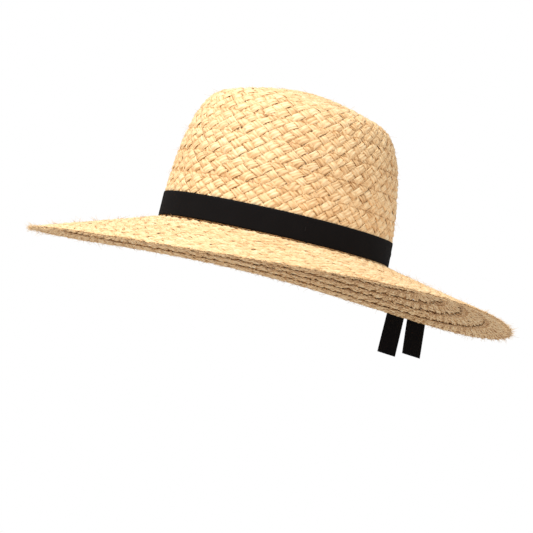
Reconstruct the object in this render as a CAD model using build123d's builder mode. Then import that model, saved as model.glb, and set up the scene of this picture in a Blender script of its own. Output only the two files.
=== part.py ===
"""Straw sun hat: sewn plait crown and brim, sweatband, ribbon band and two ribbon tails.

Z points up the crown. The origin is the centre of the head opening, at the foot of the crown.
Y runs front to back, and the tails are at the back, +Y. All sizes are in millimetres.
"""
from build123d import *
import os
from math import atan2, cos, pi, radians, sin, tan

os.makedirs("parts", exist_ok=True)

# Crown
crown_half_width = 86.0  # outside of the straw at its foot, along X
oval = 1.19  # the crown's length over its width, the same at every height
crown_height = 121.0
crown_rows = 9
bent_rows = (5, 6)  # the turns that go round the shoulder, counted from 0

# Plait: a flat braid, each turn tucked under the turn that is nearer the tip
plait_thickness = 1.2
plait_pitch = 18.0  # from one turn to the next
plait_overlap = 3.5
seam_gap = 0.3  # between two turns where they overlap
turn_width = plait_pitch + plait_overlap
tuck = (plait_thickness + seam_gap) * turn_width / plait_pitch  # the hidden edge's depth

# Brim
brim_rows = 6
brim_width = 101.0
brim_width_to_side = 2.6  # wider towards +X, narrower towards -X
brim_width_to_back = 5.4
brim_drop = 26.1  # mean height of the crown's foot above the brim's edge
curve_points = 32  # in each closed curve

# Sweatband
tape_thickness = 0.6
tape_height = 25.0
tape_below = 1.0  # how far it reaches below the crown's foot
tape_half_width = 82.0
tape_lean = 0.5  # how much narrower it is at its top
stitch_count = 36
stitch_size = (3.6, 0.5, 0.3)

# Ribbon: the band, its keeper and the tails are cut from it
ribbon_width = 19.0
ribbon_thickness = 0.6
band_foot = 1.0
band_gap = 0.25
keeper_half_angle = 6.0
keeper_thickness = 1.0
keeper_gap = 0.3  # between the keeper and the band
keeper_fold = 0.5  # its thickness over the band's edges
tack_angles = (35, 145, 215, 325)
tack_size = (0.5, 0.3, 3.0)

# Tails
tail_clearance = 0.5  # between a tail and the brim under it, or the hinge beside it
tail_gather = 8.0  # a tail's width where it leaves the keeper
tail_spread = 42.0  # where it has reached its full width
tail_slant = 1.6  # how much lower the +X corner of a cut end hangs
# each tail on the wearer's side: its side of X, its inner edge's distance from the middle,
# its lean outwards in degrees, and how far it hangs below the brim's edge
tails = {"left": (1, 0.8, 3.6, 32.0), "right": (-1, 2.4, 2.6, 35.0)}


# ---------------------------------------------------------------- crown outline and brim surface

with BuildLine(Plane.XZ) as crown_line:
    Spline(
        (crown_half_width, 0),
        (85.1, 30),
        (81.4, 62),
        (73.0, 93),
        (66.4, 103.4),
        (52.5, 110.5),
        (27.0, 118.0),
        (0, crown_height),
        tangents=((0, 1), (-1, 0)),
    )
outline = crown_line.edge()


def crown_point(reach, depth):
    """A point (x, z) of the crown's wall: reach mm up the outline, depth mm under it."""
    spot = outline.position_at(reach, position_mode=PositionMode.LENGTH)
    along = outline.tangent_at(reach, position_mode=PositionMode.LENGTH)
    return (spot.X - along.Z * depth, spot.Z + along.X * depth)


def brim_reach(angle):
    """The brim's width at an angle from +X."""
    return brim_width + brim_width_to_side * cos(angle) + brim_width_to_back * sin(angle)


def edge_height(angle):
    """The height of the brim's edge: a shallow wave, low at front and back."""
    slow = 0.3 * cos(angle) - 1.1 * sin(angle) + 3.4 * cos(2 * angle) - 5.4 * sin(2 * angle)
    return slow + 2.2 * cos(3 * angle) + 0.7 * sin(3 * angle) - brim_drop


def brim_point(share, angle, depth):
    """A point of the brim: share of its width out from the crown, depth mm under its top."""
    reach = share * brim_reach(angle)
    return (
        (crown_half_width + reach) * cos(angle),
        (crown_half_width * oval + reach) * sin(angle),
        share * edge_height(angle) - depth,
    )


def brim_curve(share, depth):
    """A closed curve round the brim."""
    turns = [2 * pi * i / curve_points for i in range(curve_points)]
    with BuildLine() as curve:
        Spline(*[brim_point(share, turn, depth) for turn in turns], periodic=True)
    return curve.edge()


# ---------------------------------------------------------------- straw


def closed_ring(curves):
    """A ring between closed curves that run round its section, joined by ruled faces."""
    faces = [
        Face.make_surface_from_curves(curve, curves[(i + 1) % len(curves)])
        for i, curve in enumerate(curves)
    ]
    with BuildPart() as ring:
        add(Solid(Shell(faces)))
    return ring.part


def oval_curve(x, z):
    """A closed curve of the crown's oval, x mm out along X at height z."""
    turns = [2 * pi * i / curve_points for i in range(curve_points)]
    with BuildLine() as curve:
        Spline(*[(x * cos(turn), x * oval * sin(turn), z) for turn in turns], periodic=True)
    return curve.edge()


def crown_section(row):
    """The points (x, z) round the section of a turn of the crown, tucked in at its top."""
    spans = 6 if row in bent_rows else 3
    shares = [i / spans for i in range(spans + 1)]
    start = row * plait_pitch
    outer = [crown_point(start + s * turn_width, s * tuck) for s in shares]
    inner = [crown_point(start + s * turn_width, s * tuck + plait_thickness) for s in shares]
    return outer + inner[::-1]


for row in range(crown_rows):
    with BuildPart() as crown_row:
        add(closed_ring([oval_curve(x, z) for x, z in crown_section(row)]))
    crown_row.part.label = f"crown_row_{row + 1}"
    export_step(crown_row.part, f"parts/{crown_row.part.label}.step")

# The coil's start: a small dished disc that the last turn of the crown is sewn round
button_x, button_z = crown_point(crown_rows * plait_pitch, 0)
with BuildPart() as crown_button:
    with BuildSketch(Plane.XY.offset(button_z - plait_thickness)):
        Ellipse(button_x, button_x * oval)
    extrude(amount=plait_thickness + crown_height - button_z)
    chamfer(crown_button.edges().group_by(Axis.Z)[-1], crown_height - button_z - 0.1)
crown_button.part.label = "crown_button"
export_step(crown_button.part, "parts/crown_button.step")

foot_depth = plait_thickness + 0.1
pitch_share = 1 / brim_rows
overlap_share = plait_overlap / brim_width
for row in range(brim_rows):
    # the first turn lies right under the crown's foot, the others under the turn before them
    inner_depth = foot_depth if row == 0 else tuck
    start = row * pitch_share - overlap_share
    end = (row + 1) * pitch_share
    with BuildPart() as brim_row:
        add(
            closed_ring(
                [
                    brim_curve(start, inner_depth),
                    brim_curve(end, 0),
                    brim_curve(end, plait_thickness),
                    brim_curve(start, inner_depth + plait_thickness),
                ]
            )
        )
    brim_row.part.label = f"brim_row_{row + 1}"
    export_step(brim_row.part, f"parts/{brim_row.part.label}.step")

# ---------------------------------------------------------------- sweatband


def leaning_ring(foot, top, foot_x, top_x, thickness):
    """A closed oval tape between two heights; foot_x and top_x are its outside along X."""
    section = [(foot_x, foot), (top_x, top), (top_x - thickness, top), (foot_x - thickness, foot)]
    return closed_ring([oval_curve(x, z) for x, z in section])


tape_top = tape_height - tape_below
with BuildPart() as sweatband:
    add(
        leaning_ring(
            -tape_below, tape_top, tape_half_width, tape_half_width - tape_lean, tape_thickness
        )
    )
sweatband.part.label = "sweatband"
export_step(sweatband.part, "parts/sweatband.step")


def oval_places(angles, radius, height):
    """Places on an oval of the crown's shape, with X along it and Y out of it."""
    places = []
    for angle in [radians(degrees) for degrees in angles]:
        spot = (radius * cos(angle), radius * oval * sin(angle), height)
        along = (-sin(angle), cos(angle) * oval, 0)
        places.append(Plane(spot, x_dir=along, z_dir=(0, 0, 1)))
    return places


stitch_line = tape_half_width - tape_thickness - stitch_size[1]
with BuildPart() as sweatband_stitches:
    stitch_angles = [360 * i / stitch_count for i in range(stitch_count)]
    with Locations(*oval_places(stitch_angles, stitch_line, tape_below)):
        Box(*stitch_size)
sweatband_stitches.part.label = "sweatband_stitches"
export_step(sweatband_stitches.part, "parts/sweatband_stitches.step")

# ---------------------------------------------------------------- ribbon band and keeper

band_top = band_foot + ribbon_width
foot_radius = crown_point(band_foot, 0)[0] + band_gap + ribbon_thickness
top_radius = crown_point(band_top, 0)[0] + band_gap + ribbon_thickness
with BuildPart() as hat_band:
    add(leaning_ring(band_foot, band_top, foot_radius, top_radius, ribbon_thickness))
hat_band.part.label = "hat_band"
export_step(hat_band.part, "parts/hat_band.step")

tack_height = band_foot + ribbon_width / 2
tack_radius = (foot_radius + top_radius) / 2 + tack_size[1] / 2 + 0.1
with BuildPart() as band_tacks:
    with Locations(*oval_places(tack_angles, tack_radius, tack_height)):
        Box(*tack_size)
band_tacks.part.label = "band_tacks"
export_step(band_tacks.part, "parts/band_tacks.step")

# The keeper: a short wrap of ribbon over the band's join, folded in over both its edges
keeper_in = foot_radius + keeper_gap
keeper_out = keeper_in + keeper_thickness
keeper_top = band_top + keeper_gap
keeper_foot = band_foot - keeper_gap
keeper_start = radians(90 - keeper_half_angle)
keeper_plane = Plane(
    (0, 0, 0),
    x_dir=(cos(keeper_start), sin(keeper_start), 0),
    z_dir=(sin(keeper_start), -cos(keeper_start), 0),
)
with BuildPart() as band_keeper:
    with BuildSketch(keeper_plane):
        with BuildLine():
            Polyline(
                (top_radius - ribbon_thickness, keeper_top),
                (keeper_in, keeper_top),
                (keeper_in, keeper_foot),
                (foot_radius - ribbon_thickness, keeper_foot),
                (foot_radius - ribbon_thickness, keeper_foot - keeper_fold),
                (keeper_out, keeper_foot - keeper_fold),
                (keeper_out, keeper_top + keeper_fold),
                (top_radius - ribbon_thickness, keeper_top + keeper_fold),
                close=True,
            )
        make_face()
    revolve(axis=Axis.Z, revolution_arc=2 * keeper_half_angle)
    scale(by=(1, oval, 1))
band_keeper.part.label = "band_keeper"
export_step(band_keeper.part, "parts/band_keeper.step")

# ---------------------------------------------------------------- tails

back_edge = crown_half_width * oval + brim_reach(pi / 2)
root_y = keeper_out * oval + tail_clearance + ribbon_thickness / 2
fold_y = back_edge + tail_clearance + 2 * ribbon_thickness
lift = tail_clearance + ribbon_thickness / 2


def brim_top(x, y):
    """The height of the brim's top over a place in plan, found by stepping towards it."""
    share = 0.5
    for _ in range(20):
        reach = share * brim_reach(pi / 2)
        angle = atan2(y / (crown_half_width * oval + reach), x / (crown_half_width + reach))
        share = (y / sin(angle) - crown_half_width * oval) / brim_reach(angle)
    return share * edge_height(angle)


for name, (side, near, lean, tail_hang) in tails.items():
    far = near + ribbon_width
    # the tail's middle surface runs straight from the keeper to just past the brim's edge
    root_z = max(brim_top(side * x, root_y) for x in (near, near + tail_gather)) + lift
    edge_z = max(brim_top(side * x, back_edge) for x in (near, far)) + lift
    slope = (edge_z - root_z) / (back_edge - root_y)
    fold_z = root_z + slope * (fold_y - root_y)
    end_y = fold_y - tail_clearance
    end_z = root_z + slope * (end_y - root_y)
    half = ribbon_thickness / 2
    print(f"{name} tail turns about y {root_y:.2f}, z {root_z:.2f}")
    print(f"{name} tail end turns about y {fold_y:.2f}, z {fold_z:.2f}")

    with BuildPart() as tail:
        with BuildSketch(Plane.YZ):
            with BuildLine():
                Polyline(
                    (root_y, root_z - half),
                    (end_y, end_z - half),
                    (end_y, end_z + half),
                    (root_y, root_z + half),
                    close=True,
                )
            make_face()
        extrude(amount=far + 1, both=True)
        with BuildSketch(Plane.XY):
            with BuildLine():
                Spline(
                    (side * (near + tail_gather), root_y),
                    (side * far, root_y + tail_spread),
                    tangents=((side * 0.4, 1), (0, 1)),
                )
                Polyline(
                    (side * far, root_y + tail_spread),
                    (side * far, fold_y),
                    (side * near, fold_y),
                    (side * near, root_y),
                    (side * (near + tail_gather), root_y),
                )
            make_face()
        extrude(amount=2 * crown_height, both=True, mode=Mode.INTERSECT)
    tail.part.label = f"{name}_tail"
    export_step(tail.part, f"parts/{name}_tail.step")

    top_z = fold_z - tail_clearance
    foot_z = edge_height(pi / 2) - tail_hang
    shift = side * tan(radians(lean)) * (top_z - foot_z)
    with BuildPart() as tail_end:
        with BuildSketch(Plane.XZ.offset(-fold_y)):
            with BuildLine():
                Polyline(
                    (side * near, top_z),
                    (side * far, top_z),
                    (side * far + shift, foot_z - side * tail_slant / 2),
                    (side * near + shift, foot_z + side * tail_slant / 2),
                    close=True,
                )
            make_face()
        extrude(amount=half, both=True)
    tail_end.part.label = f"{name}_tail_end"
    export_step(tail_end.part, f"parts/{name}_tail_end.step")
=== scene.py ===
"""The looks of a straw sun hat: plaited straw, ribbon band and tails, and a sweatband.

Each turn of the straw is woven strand by strand in the place of its CAD ring.
"""
from math import cos, pi, radians, sin

import bpy
import numpy as np
from mathutils import Matrix, Vector


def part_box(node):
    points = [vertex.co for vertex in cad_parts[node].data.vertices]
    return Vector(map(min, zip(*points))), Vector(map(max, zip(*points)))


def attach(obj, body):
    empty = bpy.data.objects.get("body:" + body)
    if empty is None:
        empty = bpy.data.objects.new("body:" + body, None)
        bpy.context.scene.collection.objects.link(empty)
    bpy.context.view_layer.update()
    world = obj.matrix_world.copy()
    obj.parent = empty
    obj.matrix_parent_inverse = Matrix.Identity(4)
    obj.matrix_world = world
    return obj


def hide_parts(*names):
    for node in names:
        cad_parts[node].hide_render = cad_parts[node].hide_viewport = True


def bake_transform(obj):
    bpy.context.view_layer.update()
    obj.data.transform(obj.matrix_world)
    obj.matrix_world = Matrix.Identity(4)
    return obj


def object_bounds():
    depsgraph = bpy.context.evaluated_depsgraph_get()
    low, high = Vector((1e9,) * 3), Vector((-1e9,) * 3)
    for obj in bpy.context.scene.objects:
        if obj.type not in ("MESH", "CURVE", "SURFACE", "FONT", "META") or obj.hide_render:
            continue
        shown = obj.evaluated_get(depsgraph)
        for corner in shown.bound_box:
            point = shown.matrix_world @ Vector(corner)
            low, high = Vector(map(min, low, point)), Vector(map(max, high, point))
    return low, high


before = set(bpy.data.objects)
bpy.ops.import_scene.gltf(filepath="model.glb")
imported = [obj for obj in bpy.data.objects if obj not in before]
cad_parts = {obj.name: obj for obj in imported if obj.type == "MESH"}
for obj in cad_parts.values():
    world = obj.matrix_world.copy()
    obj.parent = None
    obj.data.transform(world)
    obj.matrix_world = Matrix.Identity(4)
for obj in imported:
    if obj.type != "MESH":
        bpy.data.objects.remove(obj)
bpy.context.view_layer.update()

MM = 0.001
rng = np.random.default_rng(7)

# Plait, as the CAD rings lie
plait_thickness = 1.2 * MM
plait_gap = 0.3 * MM  # between two turns, where they overlap
plait_width = 21.5 * MM
plait_pitch = 18 * MM
plait_overlap = plait_width - plait_pitch
tuck = (plait_thickness + plait_gap) * plait_width / plait_pitch

# How a turn lies across its width, from its exposed edge to the one under its neighbour
hidden_share = 0.26  # of the width, where it dives under its neighbour's edge
dive_all_over = 0.1  # shares of the whole dive
dive_when_hidden = 0.78
under_crown = plait_thickness + 0.1 * MM  # the dive of the brim's first turn
edge_share = 0.12  # of the width, where its exposed edge curls
edge_dip = 0.5 * MM  # how far that edge curls down
rim_dip = -0.3 * MM  # the same at the brim's edge, which curls up
button_lap = -1.2 * MM  # the coil's start stops short of the crown's centre

# Strands
strand_count = 5
period_length = 55 * MM  # along the plait, from one edge to the other and back
leg_length = 0.63 * period_length  # along the slanting strand, from one edge to the other
crossing_steps = 4  # points along a strand from one crossing to the next
leg_steps = strand_count * crossing_steps
across_points = 9  # points across a strand's face
half_strand = 2.4 * MM  # half its width, for its fibres
weave_height = 0.9 * MM  # how far a strand rises and dips at a crossing
crossing_power = 0.55  # under 1, which makes the top of a crossing broad
weaves_from = 0.8  # crossings away from a fold, where a strand weaves fully
straw_thickness = 0.4 * MM
strand_width = 0.93  # as a share of the room that a strand has
width_spread = 0.07
drift_spread = 0.08  # sideways, as a share of that room
tilt_spread = 0.22  # of the weave's height, and the next one too
rise_spread = 0.2
crease_depth = 0.2 * MM
crease_turns = 7.0  # radians of crease from a strand's middle to its side
crease_spread = 1.6  # radians
fold_bulge = 0.17  # how far a fold stands out past the plait's edge, as a share of its width
rim_bulge = 0.05  # the same at the brim's edge
bulge_ends = 0.9  # crossings away from a fold
fold_sizes = (0.2, 1.6)  # the smallest and largest fold, against the usual one

# Tone of the straw, painted shade included: 0 is the middle of its colours, and more is lighter
tone_spread = 0.03  # along a strand
strand_tone = 0.02  # from strand to strand, and from leg to leg of one strand
way_tone = 0.02  # legs that run outwards against those that run inwards
cavity_shade = 0.12  # painted shade: more tone where a strand lies over another, less where it lies under
crease_shade = 0.08  # painted shade, the same for a crease's ridge and its valley
inner_shade_gain = 2.2  # how much stronger both painted shades are on the inner face, where they change places
inner_face_shade = -0.15  # painted shade all over the inner face, which is made darker and browner
seam_shade = 0.30  # painted shade: less tone along the line where the neighbour's edge lies
seam_place = 0.86  # that line, as a share of the turn's width
seam_size = 0.04  # and how far it darkens

# Camera
camera_azimuth = radians(37.5)
camera_elevation = radians(-2.87)
camera_roll = radians(12.34)
camera_distance = 1.429
camera_lens = 121.8
camera_shift = (-0.0146, -0.0439)


# ---------------------------------------------------------------- the hat's form, from the frame


def vertices(node):
    """A CAD node's vertices, as an array."""
    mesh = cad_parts[node].data
    found = np.empty(3 * len(mesh.vertices))
    mesh.vertices.foreach_get("co", found)
    return found.reshape(-1, 3)


crown_names = sorted(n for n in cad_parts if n.startswith("crown_row_"))
brim_names = sorted(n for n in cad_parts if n.startswith("brim_row_"))
foot_x, foot_y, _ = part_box("crown_row_1")[1]
oval = foot_y / foot_x


def eased(share):
    """A share from 0 to 1 that starts and ends level."""
    return share * share * (3 - 2 * share)


def oval_points(radius, angle, height):
    """Points on ovals with the crown's proportions. Their radius is the one along X."""
    x = radius * np.cos(angle)
    return np.stack([x, radius * oval * np.sin(angle), height + 0 * x], -1)


def smooth_line(points, steps=24):
    """A smooth line (Catmull-Rom) through points (x, z), whose last one is on the Z axis."""
    points = np.asarray(points, float)
    # past the axis it goes on as its own mirror image, so it ends level
    ends = [2 * points[0] - points[1], *points, [-points[-2][0], points[-2][1]]]
    line = []
    for a, b, c, d in zip(ends, ends[1:], ends[2:], ends[3:]):
        a, b, c, d = (np.asarray(p) for p in (a, b, c, d))
        for t in np.arange(steps) / steps:
            curve = 2 * b + (c - a) * t + (2 * a - 5 * b + 4 * c - d) * t**2
            line.append((curve + (3 * b - a - 3 * c + d) * t**3) / 2)
    return np.array([*line, points[-1]])


def row_edge(node):
    """The widest point (x, z) of a crown ring: its exposed lower edge."""
    found = vertices(node)
    widest = found[np.argmax(found[:, 0])]
    return widest[0], widest[2]


button_low, button_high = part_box("crown_button")
edge_points = [row_edge(name) for name in crown_names]
edge_points += [(button_high[0], button_low[2] + plait_thickness), (0, button_high[2])]
crown_line = smooth_line(edge_points)
crown_steps = np.hypot(*np.diff(crown_line, axis=0).T)
crown_reach = np.concatenate([[0], np.cumsum(crown_steps)])
crown_along = np.gradient(crown_line, axis=0)
crown_along /= np.hypot(*crown_along.T)[:, None]
row_starts = [
    crown_reach[np.argmin(np.hypot(*(crown_line - point).T))] for point in edge_points
]


def crown_place(reach, angle, depth):
    """Points of the crown's wall: reach up its outline, at an angle, depth under its surface."""
    reach = np.clip(reach, 0, crown_reach[-1])
    x, z = (np.interp(reach, crown_reach, crown_line[:, i]) for i in (0, 1))
    along_x, along_z = (np.interp(reach, crown_reach, crown_along[:, i]) for i in (0, 1))
    return oval_points(x - along_z * depth, angle, z + along_x * depth)


def waves(angle):
    """A constant and three waves round the hat, the terms of its smooth outlines."""
    angle = np.asarray(angle, float)
    parts = [np.ones_like(angle)]
    for n in (1, 2, 3):
        parts += [np.cos(n * angle), np.sin(n * angle)]
    return np.stack(parts, -1)


def brim_form():
    """The brim's reach and edge height round the hat, read from its last CAD ring."""
    found = vertices(brim_names[-1])
    low = np.zeros(len(found))
    high = np.full(len(found), 2 * foot_y)
    # how far out from the crown's foot each vertex lies, by halving the range
    for _ in range(40):
        reach = (low + high) / 2
        x, y = found[:, 0] / (foot_x + reach), found[:, 1] / (foot_y + reach)
        inside = x * x + y * y < 1
        low, high = np.where(inside, low, reach), np.where(inside, reach, high)
    angle = np.arctan2(y, x)
    # the outer edge, and of its two corners the top one
    width = waves(angle) @ np.linalg.lstsq(waves(angle), reach, rcond=None)[0]
    outer = reach > width
    angle, reach, height = angle[outer], reach[outer], found[outer, 2]
    rough = waves(angle) @ np.linalg.lstsq(waves(angle), height, rcond=None)[0]
    top = height > rough
    return [
        np.linalg.lstsq(waves(angle[top]), values[top], rcond=None)[0]
        for values in (reach, height)
    ]


reach_terms, height_terms = brim_form()


def brim_place(share, angle, depth):
    """Points of the brim: a share of its reach out from the crown, depth under its top."""
    reach = share * (waves(angle) @ reach_terms)
    height = share * (waves(angle) @ height_terms)
    return np.stack(
        [(foot_x + reach) * np.cos(angle), (foot_y + reach) * np.sin(angle), height - depth],
        -1,
    )


def even_angles(place):
    """Angles round a closed line, the share of its length up to each, and that length."""
    angle = np.linspace(0, 2 * pi, 721)
    line = place(angle)
    steps = np.linalg.norm(np.diff(line, axis=0), axis=1)
    length = np.concatenate([[0], np.cumsum(steps)])
    return angle, length / length[-1], length[-1]


# ---------------------------------------------------------------- mesh helpers


def grid_faces(rows, columns, wrap_rows, wrap_columns):
    """The quads of a grid of points, row by row."""
    index = np.arange(rows * columns).reshape(rows, columns)
    if wrap_rows:
        index = np.vstack([index, index[:1]])
    if wrap_columns:
        index = np.hstack([index, index[:, :1]])
    corners = [index[:-1, :-1], index[:-1, 1:], index[1:, 1:], index[1:, :-1]]
    return np.stack([c.ravel() for c in corners], -1)


def strip_ends(rows, columns, first_reversed):
    """The quads that close a strip with two faces at its first and its last row of points."""
    ends = []
    for row, reverse in ((0, first_reversed), (rows - 1, not first_reversed)):
        for i in range(columns // 2 - 1):
            quad = [row * columns + q for q in (i, i + 1, columns - 2 - i, columns - 1 - i)]
            ends.append(quad[::-1] if reverse else quad)
    return ends


def tube_faces(count, joints, sides):
    """The quads and the end faces of many tubes, whose points run joint by joint."""
    first = np.arange(count)[:, None] * joints * sides
    last = first + (joints - 1) * sides
    faces = (grid_faces(joints, sides, False, True)[None] + first[:, :, None]).reshape(-1, 4)
    return faces, [*(first + np.arange(sides)[::-1]), *(last + np.arange(sides))]


def make_piece(name, points, faces, material, body="hat", fibre=None, tone_and_shade=None, ends=()):
    """A mesh object that rides on a body. fibre and tone_and_shade, the straw's tone with its
    painted shade, are read by its material.
    """
    mesh = bpy.data.meshes.new(name)
    count = 4 * len(faces) + sum(len(e) for e in ends)
    mesh.vertices.add(len(points))
    mesh.vertices.foreach_set("co", np.asarray(points, np.float32).ravel())
    mesh.loops.add(count)
    loops = [np.asarray(faces).ravel(), *[np.asarray(e) for e in ends]]
    mesh.loops.foreach_set("vertex_index", np.concatenate(loops).astype(np.int32))
    sizes = [4] * len(faces) + [len(e) for e in ends]
    starts = np.cumsum([0, *sizes[:-1]])
    mesh.polygons.add(len(starts))
    mesh.polygons.foreach_set("loop_start", starts.astype(np.int32))
    mesh.update(calc_edges=True)
    mesh.validate()
    if fibre is not None:
        layer = mesh.attributes.new("fibre", "FLOAT_VECTOR", "POINT")
        layer.data.foreach_set("vector", np.asarray(fibre, np.float32).ravel())
    if tone_and_shade is not None:
        layer = mesh.attributes.new("tone_and_shade", "FLOAT", "POINT")
        layer.data.foreach_set("value", np.asarray(tone_and_shade, np.float32).ravel())
    mesh.shade_smooth()
    mesh.materials.append(material)
    piece = bpy.data.objects.new(name, mesh)
    bpy.context.scene.collection.objects.link(piece)
    if body:
        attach(piece, body)
    return piece


# ---------------------------------------------------------------- materials


def new_material(name):
    """A material with its own nodes, and a function that adds one."""
    material = bpy.data.materials.new(name)
    material.use_nodes = True
    tree = material.node_tree
    shader = tree.nodes["Principled BSDF"]

    def node(kind, links=None, **values):
        made = tree.nodes.new(kind)
        for key, value in values.items():
            if key.startswith("in_"):
                made.inputs[int(key[3:])].default_value = value
            else:
                setattr(made, key, value)
        for socket, source in (links or {}).items():
            tree.links.new(source, made.inputs[socket])
        return made

    return material, tree, shader, node


def ramp_colors(node, stops):
    """Sets a colour ramp's stops: position and linear colour."""
    elements = node.color_ramp.elements
    while len(elements) < len(stops):
        elements.new(0.5)
    for element, (position, color) in zip(elements, stops):
        element.position = position
        element.color = (*color, 1)


def straw_material():
    """Natural straw: long fine streaks, soft patches, each strand's own tone and painted shade, a
    dull gloss.
    """
    material, tree, shader, node = new_material("natural_straw")
    streak_scale = (90, 2600, 40)  # along the strand, across it, and from strand to strand
    patch_scale = (120, 260, 30)
    streak_share, patch_share = 0.55, 0.45  # of the tone
    fibre = node("ShaderNodeAttribute", attribute_name="fibre").outputs["Vector"]
    tone_and_shade = node("ShaderNodeAttribute", attribute_name="tone_and_shade").outputs["Fac"]
    long_way = node("ShaderNodeVectorMath", {0: fibre}, operation="MULTIPLY")
    long_way.inputs[1].default_value = streak_scale
    streak = node(
        "ShaderNodeTexNoise", {"Vector": long_way.outputs[0]}, in_2=1.0, in_3=3.0, in_4=0.65
    )
    patch_way = node("ShaderNodeVectorMath", {0: fibre}, operation="MULTIPLY")
    patch_way.inputs[1].default_value = patch_scale
    patch = node(
        "ShaderNodeTexNoise", {"Vector": patch_way.outputs[0]}, in_2=1.0, in_3=2.0, in_4=0.5
    )
    mixed = node("ShaderNodeMath", {0: streak.outputs[0]}, operation="MULTIPLY_ADD")
    mixed.inputs[1].default_value = streak_share
    tree.links.new(tone_and_shade, mixed.inputs[2])
    added = node(
        "ShaderNodeMath",
        {0: patch.outputs[0], 2: mixed.outputs[0]},
        operation="MULTIPLY_ADD",
        in_1=patch_share,
    )
    ramp = node("ShaderNodeValToRGB", {0: added.outputs[0]})
    ramp_colors(
        ramp,
        [
            (0.30, (0.42, 0.21, 0.075)),
            (0.48, (0.76, 0.48, 0.23)),
            (0.64, (0.90, 0.65, 0.36)),
            (0.86, (0.96, 0.79, 0.52)),
        ],
    )
    tree.links.new(ramp.outputs[0], shader.inputs["Base Color"])
    rough = node("ShaderNodeMapRange", {0: streak.outputs[0]}, in_3=0.42, in_4=0.66)
    tree.links.new(rough.outputs[0], shader.inputs["Roughness"])
    bump = node("ShaderNodeBump", {"Height": streak.outputs[0]})
    bump.inputs["Strength"].default_value = 0.55
    bump.inputs["Distance"].default_value = 0.25 * MM
    tree.links.new(bump.outputs[0], shader.inputs["Normal"])
    shader.inputs["Specular IOR Level"].default_value = 0.38
    return material


def ribbon_material(name, color, rib=0.55 * MM, sheen=0.35):
    """Woven tape: fine ribs across it, a matte face and a soft sheen."""
    material, tree, shader, node = new_material(name)
    ribs_per_unit = 3.2  # of the wave texture at its scale of 1
    fibre = node("ShaderNodeAttribute", attribute_name="fibre").outputs["Vector"]
    scaled = node("ShaderNodeVectorMath", {0: fibre}, operation="SCALE")
    scaled.inputs["Scale"].default_value = 1 / (rib * ribs_per_unit)
    ribs = node("ShaderNodeTexWave", {"Vector": scaled.outputs[0]}, bands_direction="X")
    ribs.inputs["Scale"].default_value = 1.0
    ribs.inputs["Distortion"].default_value = 0.6
    ribs.inputs["Detail"].default_value = 2.0
    cloud = node("ShaderNodeTexNoise", {"Vector": fibre})
    cloud.inputs["Scale"].default_value = 60
    tint = node("ShaderNodeMapRange", {0: cloud.outputs[0]}, in_3=0.75, in_4=1.25)
    shade = node("ShaderNodeVectorMath", {"Scale": tint.outputs[0]}, operation="SCALE")
    shade.inputs[0].default_value = color
    tree.links.new(shade.outputs[0], shader.inputs["Base Color"])
    bump = node("ShaderNodeBump", {"Height": ribs.outputs[0]})
    bump.inputs["Strength"].default_value = 0.45
    bump.inputs["Distance"].default_value = 0.12 * MM
    tree.links.new(bump.outputs[0], shader.inputs["Normal"])
    shader.inputs["Roughness"].default_value = 0.78
    shader.inputs["Specular IOR Level"].default_value = 0.08
    shader.inputs["Sheen Weight"].default_value = sheen
    shader.inputs["Sheen Roughness"].default_value = 0.4
    return material


straw = straw_material()
black_ribbon = ribbon_material("black_ribbon", (0.0055, 0.0048, 0.0052), sheen=0.0)
cotton_tape = ribbon_material("cotton_tape", (0.70, 0.62, 0.48), rib=0.8 * MM)
cotton_thread = ribbon_material("cotton_thread", (0.75, 0.64, 0.42), rib=0.3 * MM)
black_thread = ribbon_material("black_thread", (0.014, 0.012, 0.012), rib=0.3 * MM, sheen=0.1)


# ---------------------------------------------------------------- straw


def wander(samples, fastest, parts=8):
    """A smooth closed random line, mostly between -1 and 1."""
    turn = np.arange(samples) / samples * 2 * pi
    total = np.zeros(samples)
    for _ in range(parts):
        total += np.sin(rng.integers(1, fastest + 1) * turn + rng.uniform(0, 2 * pi))
    return total * 1.2 / np.sqrt(parts)


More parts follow.
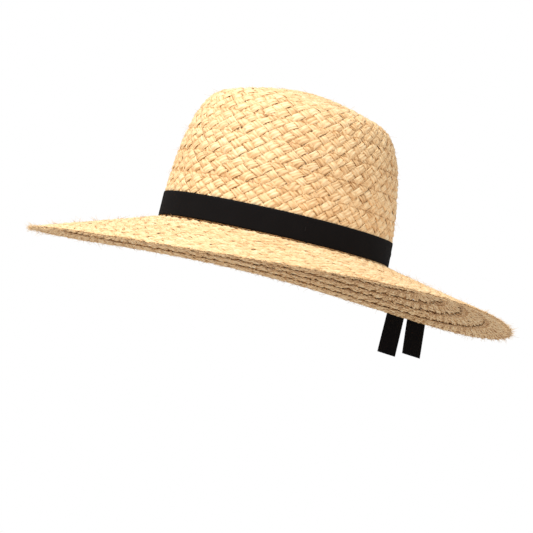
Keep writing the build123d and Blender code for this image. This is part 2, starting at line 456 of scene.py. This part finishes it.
def weave_strand(strand, legs, place, bulge_share):
    """One strand of a turn: the points round its flat section, their fibre and their tone,
    painted shade included.

    It zigzags between the plait's edges in legs, over and under the strands that it crosses. Its
    lines of constant across run along the plait, so that it folds flat over on itself at an edge.
    """
    samples = legs * leg_steps
    step = np.arange(samples) / leg_steps  # in legs
    leg = np.floor(step).astype(int)
    share = step - leg
    outward = leg % 2 == 0
    across = np.where(outward, share, 1 - share)
    side = np.linspace(-1, 1, across_points)
    two_sides = np.concatenate([side, side[::-1]])

    # what is uneven about it
    width = strand_width + width_spread * wander(samples, 3 * legs)
    drift = drift_spread * wander(samples, 2 * legs)
    tilt = tilt_spread * wander(samples, 2 * legs)
    rise = rise_spread * wander(samples, 3 * legs)
    tone_and_shade = tone_spread * wander(samples, max(2, legs // 3)) + strand_tone * rng.normal()
    leg_tones = strand_tone * rng.normal(size=legs)
    folds = rng.uniform(*fold_sizes, legs)
    crease = side * crease_turns + crease_spread * wander(samples, 2 * legs)[:, None]
    crease += rng.uniform(0, 6)
    fibre_start = rng.uniform(0, 5)
    fibre_seed = rng.uniform(0, 9)

    # its place: along the turn in legs, and across the plait as a share of the plait's width
    centre = step + 2 * strand / strand_count
    clean = centre[:, None] + side * width[:, None] / strand_count
    along = clean + drift[:, None] / strand_count
    near_fold = np.minimum(across, 1 - across) * strand_count  # in crossings
    fold = np.where(across < 0.5, folds[(leg + leg % 2) % legs], folds[leg - leg % 2])
    bulge = bulge_share * fold * np.clip(1 - near_fold / bulge_ends, 0, 1) ** 1.5
    past_edge = np.where(across < 0.5, -bulge, bulge)
    reach = across[:, None] + past_edge[:, None] * (1 - np.abs(side) ** 1.4)

    # its height: which strand lies on top alternates along both diagonals of the weave
    falling_way = (clean - across[:, None]) * strand_count / 2
    rising_way = (clean + across[:, None]) * strand_count / 2
    crossing = np.cos(pi * falling_way) * np.cos(pi * rising_way)
    crossing = np.sign(crossing) * np.abs(crossing) ** crossing_power
    crossing *= eased(np.clip(near_fold / weaves_from, 0, 1))[:, None]
    crossing *= np.where(outward, -1, 1)[:, None]
    creased = np.sin(crease + 0.8 * np.sin(2.1 * crease))
    height = weave_height * (crossing * (1 + rise[:, None]) + tilt[:, None] * side)
    height += crease_depth * creased
    middle = plait_thickness / 2 - height
    top = place(along / legs, reach, middle - straw_thickness / 2)
    low = place(along / legs, reach, middle + straw_thickness / 2)
    ring = np.concatenate([top, low[:, ::-1]], axis=1)

    # its fibres, and its tone with painted shade
    fibre = np.empty_like(ring)
    fibre[..., 0] = (step * leg_length + fibre_start)[:, None]
    fibre[..., 1] = two_sides * half_strand
    fibre[..., 2] = fibre_seed
    # painted shade: lighter on the tops of crossings and crease ridges, darker where a strand
    # dives under another and in crease valleys; on the inner face it is stronger, reversed and
    # darker all over
    over = cavity_shade * crossing + crease_shade * creased
    shade = np.concatenate([over, inner_face_shade - inner_shade_gain * over[:, ::-1]], axis=1)
    tone_and_shade += np.where(outward, way_tone, -way_tone) + np.repeat(leg_tones, leg_steps)
    # painted shade along the seam, where the neighbour's edge lies
    tone_and_shade -= seam_shade * np.exp(-(((across - seam_place) / seam_size) ** 2))
    return ring.reshape(-1, 3), fibre.reshape(-1, 3), (tone_and_shade[:, None] + shade).ravel()


def weave_turn(node, place, length, bulge_share=fold_bulge):
    """Weaves one turn of plait. place(round, across, depth) puts its points on the hat."""
    legs = 2 * max(2, round(length / period_length))
    strands = [weave_strand(strand, legs, place, bulge_share) for strand in range(strand_count)]
    points, fibres, tones_and_shade = (np.concatenate(values) for values in zip(*strands))
    one = grid_faces(legs * leg_steps, 2 * across_points, True, True)
    first = np.arange(strand_count)[:, None, None] * len(points) // strand_count
    piece = make_piece(
        f"straw_{node}", points, (one + first).reshape(-1, 4), straw, fibre=fibres, tone_and_shade=tones_and_shade
    )
    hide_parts(node)


def lie(across, dive, dip=edge_dip):
    """How deep a turn of plait lies across its width: flush, then under its neighbour."""
    under = eased(np.clip((across - 1 + hidden_share) / hidden_share, 0, 1))
    edge = np.clip(1 - across / edge_share, 0, 1)
    return dive * (dive_all_over + dive_when_hidden * under) + dip * edge * edge


def weave_crown():
    """The turns of the crown, from its foot up, and the coil's start at the tip."""
    names = [*crown_names, "crown_button"]
    for i, name in enumerate(names):
        start = row_starts[i]
        lap = plait_overlap if i < len(crown_names) else button_lap
        width = row_starts[i + 1] - start + lap
        hidden = tuck if i < len(crown_names) else 0
        angle, even, length = even_angles(
            lambda a: crown_place(np.full_like(a, start + width / 2), a, 0)
        )

        def place(round_share, across, depth):
            turned = np.interp(round_share % 1, even, angle)
            return crown_place(start + across * width, turned, depth + lie(across, hidden))

        weave_turn(name, place, length)


def weave_brim():
    """The turns of the brim, from the crown out."""
    rows = len(brim_names)
    for i, name in enumerate(brim_names):
        end = (i + 1) / rows
        width = 1 / rows + plait_overlap / reach_terms[0]
        hidden = under_crown if i == 0 else tuck
        dip, bulge = (rim_dip, rim_bulge) if i == rows - 1 else (edge_dip, fold_bulge)
        angle, even, length = even_angles(
            lambda a: brim_place(np.full_like(a, end - width / 2), a, 0)
        )

        def place(round_share, across, depth):
            turned = np.interp(round_share % 1, even, angle)
            return brim_place(end - across * width, turned, depth + lie(across, hidden, dip))

        weave_turn(name, place, length, bulge)


weave_crown()
weave_brim()


# ---------------------------------------------------------------- loose fibres


def add_fibres(name, count, start_at, lengths, thickness):
    """Loose straw fibres: thin tapered hairs. start_at(n) gives their starts and directions."""
    joints, sides = 5, 3
    starts, ways = start_at(count)
    size = rng.uniform(*lengths, count)
    bend = rng.normal(0, 0.35, (count, 3))
    share = np.linspace(0, 1, joints)
    line = starts[:, None] + size[:, None, None] * (
        ways[:, None] * share[:, None] + bend[:, None] * share[:, None] ** 2
    )
    other = np.cross(ways, [0.3, 0.2, 0.93])  # any slanting line gives a hair its cross-section
    other /= np.linalg.norm(other, axis=1)[:, None]
    third = np.cross(ways, other)
    radius = thickness / 2 * (1 - 0.8 * share)[None, :, None]
    rings = []
    for k in range(sides):
        turn = 2 * pi * k / sides
        rings.append(line + radius * (other * cos(turn) + third * sin(turn))[:, None])
    points = np.stack(rings, axis=2).reshape(-1, 3)
    faces, ends = tube_faces(count, joints, sides)
    fibre = np.zeros((len(points), 3))
    fibre[:, 0] = np.repeat(rng.uniform(0, 3, count), joints * sides)
    tone_and_shade = np.repeat(rng.normal(0.1, 0.1, count), joints * sides)
    piece = make_piece(name, points, faces, straw, fibre=fibre, tone_and_shade=tone_and_shade, ends=ends)


def normalized(ways):
    """Directions, each made one unit long."""
    return ways / np.linalg.norm(ways, axis=1)[:, None]


def round_way(angle):
    """The level direction round the hat at each angle, anticlockwise from above."""
    return np.stack([-np.sin(angle), np.cos(angle), 0 * angle], -1)


def clear_of_tails(count, clear=0.15):
    """Angles round the brim, none of them under the ribbon tails at the back."""
    return pi / 2 + rng.uniform(clear, 2 * pi - clear, count)


def brim_fibres(count):
    """Fibres at the brim's edge, pointing out and along it."""
    angle = clear_of_tails(count)
    share = 1 + rng.normal(0, 0.006, count)
    starts = brim_place(share, angle, plait_thickness * rng.uniform(-0.3, 1.2, count))
    out = np.stack([np.cos(angle), np.sin(angle), rng.normal(-0.1, 0.45, count)], -1)
    along = round_way(angle) * rng.choice([-1, 1], count)[:, None]
    return starts, normalized(out * 0.5 + along)


def face_fibres(count):
    """Fibres that stick out of the brim's two faces at the turns' edges."""
    angle = clear_of_tails(count)
    rows = len(brim_names)
    share = rng.integers(1, rows, count) / rows + rng.normal(0, 0.01, count)
    under = rng.random(count) < 0.45  # a little less than half are on the lower face
    depth = np.where(under, plait_thickness + tuck, -0.3 * MM)
    starts = brim_place(share, angle, depth)
    up_way = np.where(under, -0.5, 0.5) * rng.uniform(0.2, 1, count)
    turn = rng.uniform(0, 2 * pi, count)
    return starts, normalized(np.stack([np.cos(turn), np.sin(turn), up_way], -1))


def crown_fibres(count):
    """Fibres at the lower edges of the crown's turns."""
    row = rng.integers(2, len(crown_names), count)
    reach = np.take(row_starts, row) + rng.normal(0, 2.5 * MM, count)
    angle = rng.uniform(0, 2 * pi, count)
    starts = crown_place(reach, angle, -0.3 * MM)
    outer = crown_place(reach, angle, -10 * MM)
    out = normalized(outer - starts)
    along = round_way(angle) * rng.normal(0, 1, count)[:, None]
    down = [0, 0, -0.4]
    return starts, normalized(out * rng.uniform(0.15, 0.6, count)[:, None] + along + down)


add_fibres("brim_edge_fibres", 2600, brim_fibres, (1.5 * MM, 5.5 * MM), 0.34 * MM)
add_fibres("brim_face_fibres", 3000, face_fibres, (2 * MM, 6 * MM), 0.25 * MM)
add_fibres("crown_fibres", 900, crown_fibres, (2 * MM, 6 * MM), 0.22 * MM)


# ---------------------------------------------------------------- tapes and ribbons


def tape_ring(name, node, thickness, ripple, material):
    """A tape that closes round the crown in its CAD ring's place, slightly uneven.

    thickness is the tape's own, and ripple is how far its upper edge strays in and out.
    """
    low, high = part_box(node)
    found = vertices(node)
    at_foot = found[found[:, 2] < low[2] + 0.1 * MM, 0].max()
    at_top = found[found[:, 2] > high[2] - 0.1 * MM, 0].max()
    around, levels = 420, 13
    angle, even, length = even_angles(lambda a: oval_points(at_foot, a, 0))
    share = np.arange(around) / around
    turned = np.interp(share, even, angle)
    level = np.linspace(0, 1, levels)
    both_levels = np.concatenate([level, level[::-1]])
    edge_round = thickness * 0.12 * np.abs(2 * level - 1) ** 8
    wall = at_foot + (at_top - at_foot) * level
    radius = np.concatenate([wall - edge_round, (wall - thickness)[::-1]])
    height = low[2] + (high[2] - low[2]) * both_levels
    uneven = ripple * wander(around, 24)
    lift = 0.5 * ripple * wander(around, 16)
    radius = radius[None] + uneven[:, None] * both_levels[None] ** 2
    points = oval_points(radius, turned[:, None], height[None] + lift[:, None])
    fibre = np.zeros((around, 2 * levels, 3))
    fibre[..., 0] = (share * length)[:, None]
    fibre[..., 1] = height[None]
    faces = grid_faces(around, 2 * levels, True, True)
    piece = make_piece(name, points.reshape(-1, 3), faces, material, fibre=fibre.reshape(-1, 3))
    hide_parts(node)


tape_ring(
    "ribbon_band",
    "hat_band",
    thickness=0.5 * MM,
    ripple=0.12 * MM,
    material=black_ribbon,
)
tape_ring(
    "sweatband_tape",
    "sweatband",
    thickness=0.6 * MM,
    ripple=0.15 * MM,
    material=cotton_tape,
)


def tail_path(root, corner, foot, steps, round_size=2.5 * MM):
    """The line (y, z) of a tail: straight over the brim, round its edge and straight down."""
    before = corner + (root - corner) / np.linalg.norm(root - corner) * round_size
    after = corner + (foot - corner) / np.linalg.norm(foot - corner) * round_size
    turn = np.linspace(0, 1, 10)[1:-1, None]
    bend = before * (1 - turn) ** 2 + corner * 2 * turn * (1 - turn) + after * turn**2
    flat = np.linspace(root, before, steps)
    hang = np.linspace(after, foot, steps // 3)
    return np.concatenate([flat, bend, hang])


def add_tail(side, name):
    """A ribbon tail: gathered under the keeper, laid over the brim and hung over its edge."""
    low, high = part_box(f"{name}_tail")
    end_low, end_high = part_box(f"{name}_tail_end")
    width = high[0] - low[0]
    fold_y = (end_low[1] + end_high[1]) / 2
    slope = (low[2] - high[2]) / (high[1] - low[1])
    # it lies on the crests of the weave, a little over its CAD solid
    root = np.array([low[1], high[2] + 0.6 * MM])
    corner = np.array([fold_y + 0.5 * MM, low[2] + 1.3 * MM + slope * (fold_y - high[1])])
    slant = 1.6 * MM  # of the end's cut
    foot = np.array([fold_y + 0.4 * MM, end_low[2] + slant / 2])
    path = tail_path(root, corner, foot, 60)
    steps = np.concatenate([[0], np.cumsum(np.hypot(*np.diff(path, axis=0).T))])
    along = np.gradient(path, axis=0)
    along /= np.hypot(*along.T)[:, None]
    out = np.stack([-along[:, 1], along[:, 0]], -1)
    # its first few millimetres dip, so that it can lift clear of the keeper
    path[:, 1] -= 0.5 * MM * np.clip(1 - steps / (10 * MM), 0, 1)
    across = np.linspace(-1, 1, 25)
    # gathered to less than half its width at the keeper, in pleats that fade out
    gathered = 8 * MM
    spread = eased(np.clip(steps / (42 * MM), 0, 1))
    wide = gathered + (width - gathered) * spread
    inner = side * min(abs(low[0]), abs(high[0]))
    lean = (end_high[0] - end_low[0]) - width
    hanging = np.clip((corner[1] - path[:, 1]) / (corner[1] - foot[1]), 0, 1)
    hanging[path[:, 0] < corner[0] - 5 * MM] = 0
    middle = inner + side * (wide / 2 + lean * hanging)
    x = middle[:, None] + across * wide[:, None] / 2
    pleats = 0.35 * MM * (1 - spread)[:, None] * np.cos(across * 2.5 * pi)[None]
    curl = 0.25 * MM * np.sin(steps / (17 * MM) + side)[:, None] * across[None]
    cup = 0.7 * MM * hanging[:, None] * across[None] ** 2
    relief = pleats + curl * spread[:, None] + cup
    slanted = -(x - middle[:, None]) / width * slant * hanging[:, None]
    thickness = 0.4 * MM
    two_faces = []
    for offset in (thickness / 2, -thickness / 2):
        y = path[:, 0, None] + out[:, 0, None] * (relief + offset)
        z = path[:, 1, None] + out[:, 1, None] * (relief + offset)
        two_faces.append(np.stack([x, y, z + slanted], -1))
    top, bottom = two_faces
    ring = np.concatenate([top, bottom[:, ::-1]], axis=1)
    rows, columns = ring.shape[:2]
    fibre = np.zeros((rows, columns, 3))
    fibre[..., 0] = steps[:, None]
    fibre[..., 1] = ring[..., 0]
    piece = make_piece(
        f"ribbon_tail_{name}",
        ring.reshape(-1, 3),
        grid_faces(rows, columns, False, True),
        black_ribbon,
        body=None,
        fibre=fibre.reshape(-1, 3),
        ends=strip_ends(rows, columns, first_reversed=True),
    )
    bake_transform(piece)
    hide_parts(f"{name}_tail", f"{name}_tail_end")


add_tail(1, "left")
add_tail(-1, "right")


def add_keeper():
    """The wrap that gathers the tails: ribbon folded round the band, in soft pleats."""
    low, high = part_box("band_keeper")
    across = np.linspace(-1, 1, 41)
    level = np.linspace(0, 1, 25)
    half = (high[0] - low[0]) / 2
    waist = 1 - 0.16 * np.sin(pi * level)  # it is drawn in at half its height
    x = across[None] * half * waist[:, None]
    z = low[2] + (high[2] - low[2]) * level[:, None] + 0 * x
    face_y = high[1] - 0.1 * MM
    round_over = np.abs(2 * level - 1) ** 6
    pleats = 0.35 * MM * np.cos(across * 4.3 * pi)[None] * (1 - round_over)[:, None]
    side_drop = 1.5 * MM * np.abs(across) ** 6
    y = face_y - 1.3 * MM * round_over[:, None] - side_drop[None] + pleats
    y -= (1 - np.cos(x / foot_y)) * foot_y  # it bends round the crown
    thickness = 0.5 * MM
    outside = np.stack([x, y, z], -1)
    inside = outside - [0, thickness, 0]
    ring = np.concatenate([outside, inside[:, ::-1]], axis=1)
    rows, columns = ring.shape[:2]
    fibre = np.zeros((rows, columns, 3))
    fibre[..., 0] = ring[..., 2]
    fibre[..., 1] = ring[..., 0]
    piece = make_piece(
        "ribbon_keeper",
        ring.reshape(-1, 3),
        grid_faces(rows, columns, False, True),
        black_ribbon,
        fibre=fibre.reshape(-1, 3),
        ends=strip_ends(rows, columns, first_reversed=False),
    )
    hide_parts("band_keeper")


add_keeper()


def add_stitches():
    """The stitches along the foot of the sweatband: short rounded lengths of thread."""
    low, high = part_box("sweatband_stitches")
    height = (low[2] + high[2]) / 2
    radius = high[0] - 0.2 * MM
    count, joints, sides = 150, 7, 6
    stitch_start, stitch_share = 0.15, 0.62  # of the room that each stitch has
    thread_radius = 0.22 * MM
    angle, even, _ = even_angles(lambda a: oval_points(radius, a, 0))
    share = np.linspace(0, 1, joints)
    thick = thread_radius * np.sqrt(1 - (0.97 * (2 * share - 1)) ** 2)
    points = []
    for i in range(count):
        turned = np.interp((i + stitch_start + stitch_share * share) / count, even, angle)
        for k in range(sides):
            turn = 2 * pi * k / sides
            z = height + thick * sin(turn) + 0.15 * MM * rng.normal()
            points.append(oval_points(radius - 0.1 * MM + thick * cos(turn), turned, z))
    points = np.stack(points).reshape(count, sides, joints, 3).swapaxes(1, 2).reshape(-1, 3)
    faces, ends = tube_faces(count, joints, sides)
    piece = make_piece("sweatband_thread", points, faces, cotton_thread, fibre=points, ends=ends)
    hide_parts("sweatband_stitches")


add_stitches()
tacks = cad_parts["band_tacks"].data
tacks.materials.clear()
tacks.materials.append(black_thread)


# ---------------------------------------------------------------- camera, light and stage


def add_camera():
    """Looks at the hat from its front and its +X side, a little from below.

    Returns the camera's right, up and back directions, which place the lights.
    """
    level_reach = cos(camera_elevation)
    sideways, forwards = sin(camera_azimuth) * level_reach, -cos(camera_azimuth) * level_reach
    back = Vector((sideways, forwards, sin(camera_elevation)))
    level = Vector((cos(camera_azimuth), sin(camera_azimuth), 0))
    upright = back.cross(level)
    right = level * cos(camera_roll) + upright * sin(camera_roll)
    up = upright * cos(camera_roll) - level * sin(camera_roll)
    data = bpy.data.cameras.new("camera")
    data.lens = camera_lens
    data.shift_x, data.shift_y = camera_shift
    camera = bpy.data.objects.new("camera", data)
    turn = Matrix((right, up, back)).transposed().to_4x4()
    camera.matrix_world = Matrix.Translation(back * camera_distance) @ turn
    bpy.context.scene.collection.objects.link(camera)
    bpy.context.scene.camera = camera
    return right, up, back


def add_light(name, towards, distance, size, watts, color):
    """A soft square light that shines at the hat from a direction."""
    data = bpy.data.lights.new(name, "AREA")
    data.size = size
    data.energy = watts
    data.color = color
    light = bpy.data.objects.new(name, data)
    towards = towards.normalized()
    light.location = towards * distance
    light.rotation_euler = towards.to_track_quat("Z", "Y").to_euler()
    bpy.context.scene.collection.objects.link(light)


def add_world(fill, seen):
    """An even white surround: fill lights the hat, seen is what shows behind it."""
    world = bpy.data.worlds.new("surround")
    bpy.context.scene.world = world
    world.use_nodes = True
    tree = world.node_tree
    background = tree.nodes["Background"]
    background.inputs["Color"].default_value = (1, 1, 1, 1)
    path = tree.nodes.new("ShaderNodeLightPath")
    scale = tree.nodes.new("ShaderNodeMapRange")
    scale.inputs["To Min"].default_value = fill
    scale.inputs["To Max"].default_value = seen
    tree.links.new(path.outputs["Is Camera Ray"], scale.inputs["Value"])
    tree.links.new(scale.outputs[0], background.inputs["Strength"])


def add_floor(drop=1.25, half=1.5):
    """A plain pale floor well under the hat, so that its underside can be looked at."""
    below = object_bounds()[0][2] - drop
    corners = [(x * half, y * half, below) for x, y in ((-1, -1), (1, -1), (1, 1), (-1, 1))]
    material, _, shader, _ = new_material("pale_floor")
    shader.inputs["Base Color"].default_value = (0.85, 0.82, 0.80, 1)
    shader.inputs["Roughness"].default_value = 0.9
    floor = make_piece("floor", corners, [(0, 1, 2, 3)], material, body=None)


right, up, back = add_camera()
above_left = up - right * 0.35 + back * 0.55
right_below = back * 0.8 + right * 0.9 - up * 0.35
add_light("key", above_left, distance=1.6, size=0.9, watts=32, color=(1.0, 0.98, 0.95))
add_light("side", right_below, distance=1.8, size=1.0, watts=12, color=(1.0, 0.95, 0.93))
add_world(fill=0.48, seen=1.0)
add_floor()
bpy.context.scene.view_settings.view_transform = "Standard"
